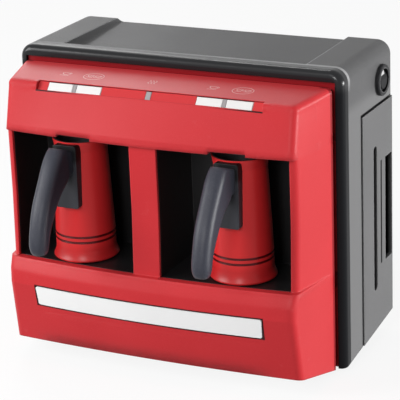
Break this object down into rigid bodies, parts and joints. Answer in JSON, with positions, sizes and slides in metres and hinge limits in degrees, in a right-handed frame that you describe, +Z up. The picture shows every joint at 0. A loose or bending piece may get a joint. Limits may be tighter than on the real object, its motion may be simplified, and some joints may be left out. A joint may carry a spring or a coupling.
{
  "type": "coffee machine",
  "caption": "Countertop Turkish coffee machine with niches for lift-out handled pots over hotplates, a slot of push buttons, a side power switch and a cup tray on top.",
  "frame": {"origin": "on the counter, in the machine's middle plane, under the middle of its whole depth from the handles to the cord gland", "axes": "+Z up, -Y to the front with the niches, +X to the viewer's right, the side with the power switch"},
  "size_m": [0.2844, 0.2214, 0.2465],
  "materials": {
    "red_front": "satin gloss, fine sparkle",
    "charcoal_housing": "fine satin grain",
    "charcoal_cover": "fine satin grain",
    "black_base": "moulded matt",
    "rubber_foot": "matt",
    "white_strip": "gloss",
    "red_trim": "satin gloss",
    "white_button": "satin",
    "grey_indicator": "clear satin",
    "black_liner": "satin",
    "plate_metal": "dark coated",
    "plate_seal": "matt",
    "heater_metal": "cast",
    "probe_metal": "satin",
    "bracket_metal": "satin",
    "sensor_case": "moulded matt",
    "sensor_window": "clear",
    "red_pot": "gloss enamel",
    "pot_steel": "turned",
    "handle_grey": "soft satin",
    "mount_grey": "satin",
    "bezel_dark": "satin",
    "rocker_black": "gloss",
    "switch_case": "moulded matt",
    "gland_black": "matt",
    "board_green": "lacquered",
    "part_black": "moulded matt",
    "coil_metal": "laminated core and varnished winding",
    "lamp_clear": "clear",
    "screw_steel": "plated"
  },
  "bodies": {
    "machine": {"front_fascia": "red_front", "main_housing": "charcoal_housing", "rear_cover": "charcoal_cover", "base_plate": "black_base", "feet": "rubber_foot", "name_strip": "white_strip", "control_trim": "red_trim", "control_board": "board_green", "button_switches": "part_black", "indicator_lamps": "lamp_clear", "buzzer": "part_black", "switch_bezel": "bezel_dark", "switch_body": "switch_case", "cord_gland": "gland_black", "power_board": "board_green", "transformer": "coil_metal", "relays": "part_black", "base_screws": "screw_steel", "cover_screws": "screw_steel", "board_screws": "screw_steel", "indicator_left": "grey_indicator", "indicator_centre": "grey_indicator", "indicator_right": "grey_indicator", "niche_liner_left": "black_liner", "niche_liner_right": "black_liner", "hotplate_left": "plate_metal", "hotplate_right": "plate_metal", "hotplate_seal_left": "plate_seal", "hotplate_seal_right": "plate_seal", "heater_ring_left": "heater_metal", "heater_ring_right": "heater_metal", "heat_probe_left": "probe_metal", "heat_probe_right": "probe_metal", "heater_bracket_left": "bracket_metal", "heater_bracket_right": "bracket_metal", "foam_sensor_left": "sensor_case", "foam_sensor_right": "sensor_case", "sensor_lens_left": "sensor_window", "sensor_lens_right": "sensor_window"},
    "left_pot": {"pot_body_left": "red_pot", "pot_disc_left": "pot_steel", "handle_mount_left": "mount_grey", "pot_handle_left": "handle_grey", "handle_screw_left": "screw_steel"},
    "right_pot": {"pot_body_right": "red_pot", "pot_disc_right": "pot_steel", "handle_mount_right": "mount_grey", "pot_handle_right": "handle_grey", "handle_screw_right": "screw_steel"},
    "power_switch": {"power_rocker": "rocker_black"},
    "button_left_outer": {"button_left_outer": "white_button"},
    "button_left_inner": {"button_left_inner": "white_button"},
    "button_right_inner": {"button_right_inner": "white_button"},
    "button_right_outer": {"button_right_outer": "white_button"}
  },
  "joints": [
    {"name": "left_pot_out", "type": "slide", "parent": "machine", "child": "left_pot", "axis": [0, -1, 0], "range_m": [0, 0.12]},
    {"name": "right_pot_out", "type": "slide", "parent": "machine", "child": "right_pot", "axis": [0, -1, 0], "range_m": [0, 0.12]},
    {"name": "button_left_outer_press", "type": "slide", "parent": "machine", "child": "button_left_outer", "axis": [0, 0.766, -0.6428], "range_m": [0, 0.001], "stiffness_N_per_m": 900},
    {"name": "button_left_inner_press", "type": "slide", "parent": "machine", "child": "button_left_inner", "axis": [0, 0.766, -0.6428], "range_m": [0, 0.001], "stiffness_N_per_m": 900},
    {"name": "button_right_inner_press", "type": "slide", "parent": "machine", "child": "button_right_inner", "axis": [0, 0.766, -0.6428], "range_m": [0, 0.001], "stiffness_N_per_m": 900},
    {"name": "button_right_outer_press", "type": "slide", "parent": "machine", "child": "button_right_outer", "axis": [0, 0.766, -0.6428], "range_m": [0, 0.001], "stiffness_N_per_m": 900},
    {"name": "power_rock", "type": "hinge", "parent": "machine", "child": "power_switch", "pos_m": [0.137, 0.08075, 0.22], "axis": [0, 1, 0], "range_deg": [0, 18]}
  ]
}
